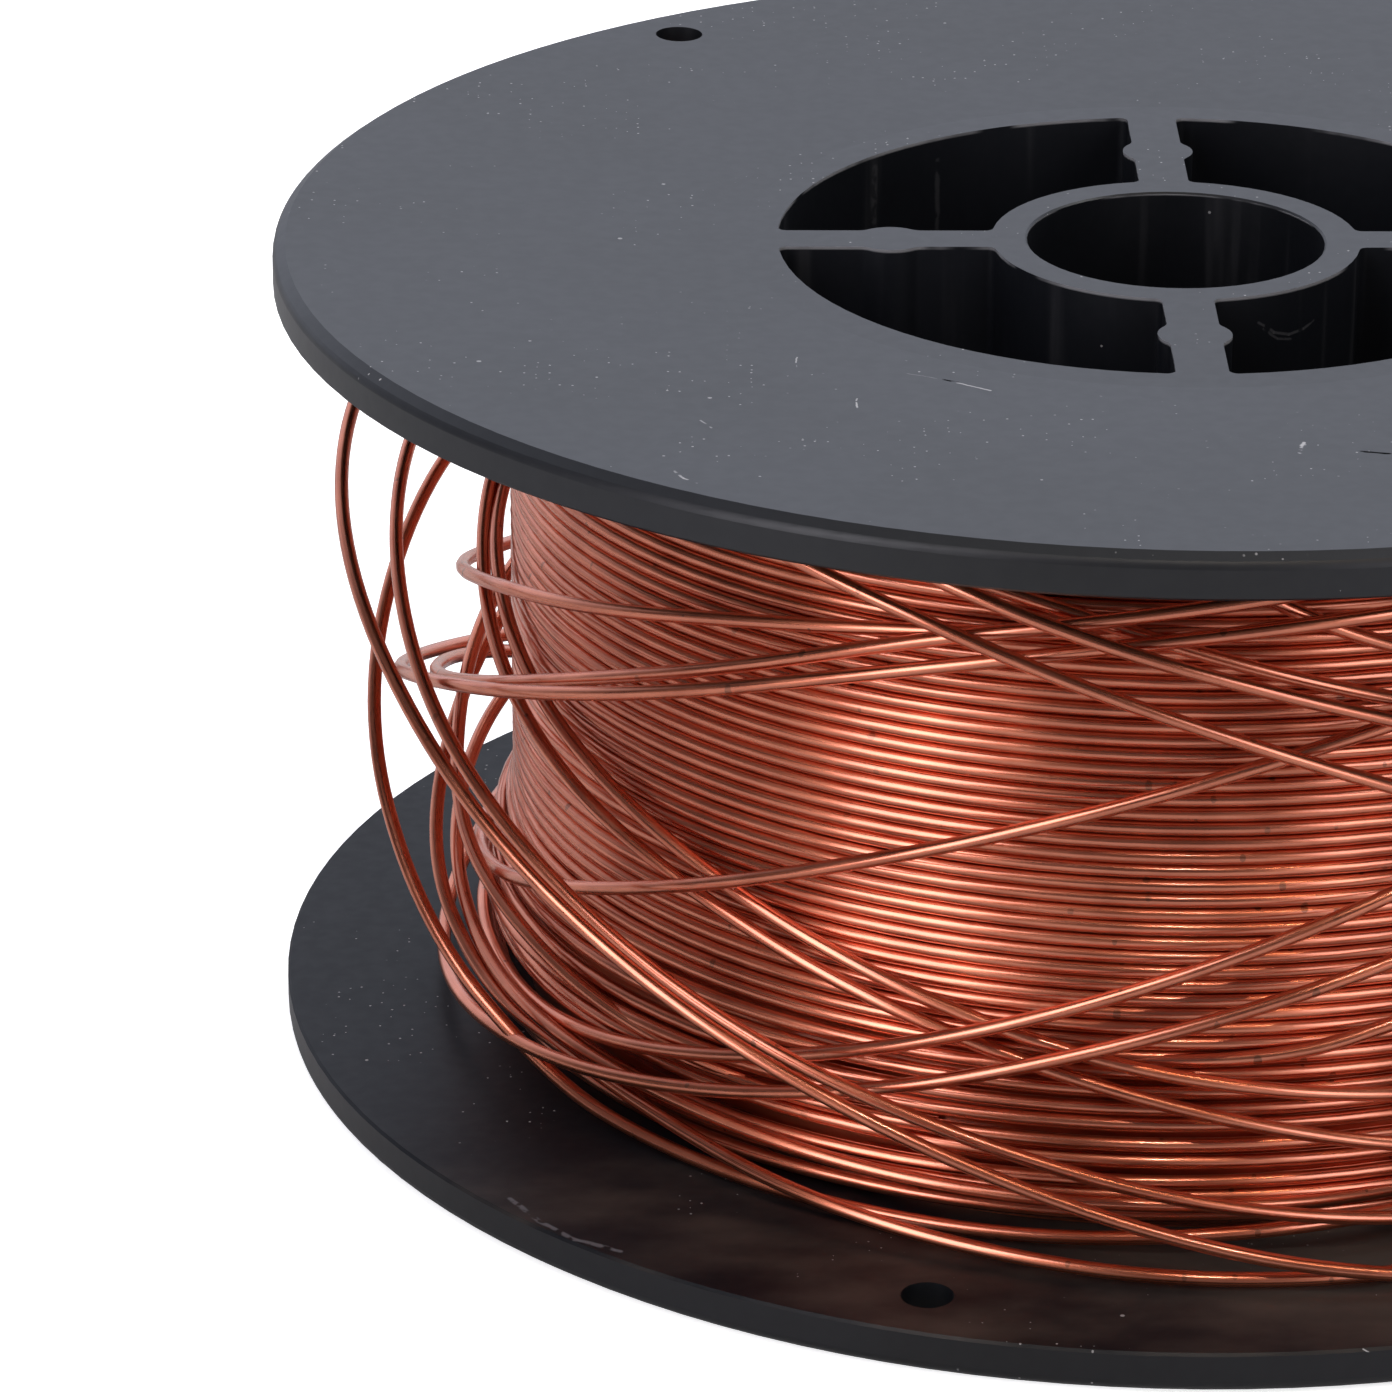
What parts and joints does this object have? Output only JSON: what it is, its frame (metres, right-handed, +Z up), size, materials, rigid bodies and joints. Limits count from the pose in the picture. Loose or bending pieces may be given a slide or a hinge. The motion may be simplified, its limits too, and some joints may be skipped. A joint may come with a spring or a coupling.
{
  "type": "wire spool",
  "caption": "Small black plastic spool with a spoked hub, wound with copper wire whose outer strands have sprung loose",
  "frame": {"origin": "centre of the lower flange's rim plane, which the spool stands on", "axes": "+Z up the spindle bore, -Y towards the viewer of the picture, +X to the right"},
  "size_m": [0.1, 0.1, 0.0462],
  "materials": {
    "black_plastic": "satin",
    "copper": "drawn, lightly tarnished"
  },
  "bodies": {
    "root": {"lower_half": "black_plastic", "upper_half": "black_plastic", "wire_pack": "copper", "outer_layer": "copper", "strand_a": "copper", "strand_b": "copper", "strand_c": "copper", "strand_p": "copper", "strand_s": "copper", "strand_r": "copper", "strand_g": "copper", "strand_f": "copper", "strand_h": "copper", "strand_j": "copper", "strand_k": "copper", "strand_l": "copper", "strand_m": "copper", "strand_n": "copper", "strand_d1": "copper", "strand_d2": "copper", "strand_d3": "copper", "strand_d4": "copper", "strand_e": "copper"}
  },
  "joints": []
}
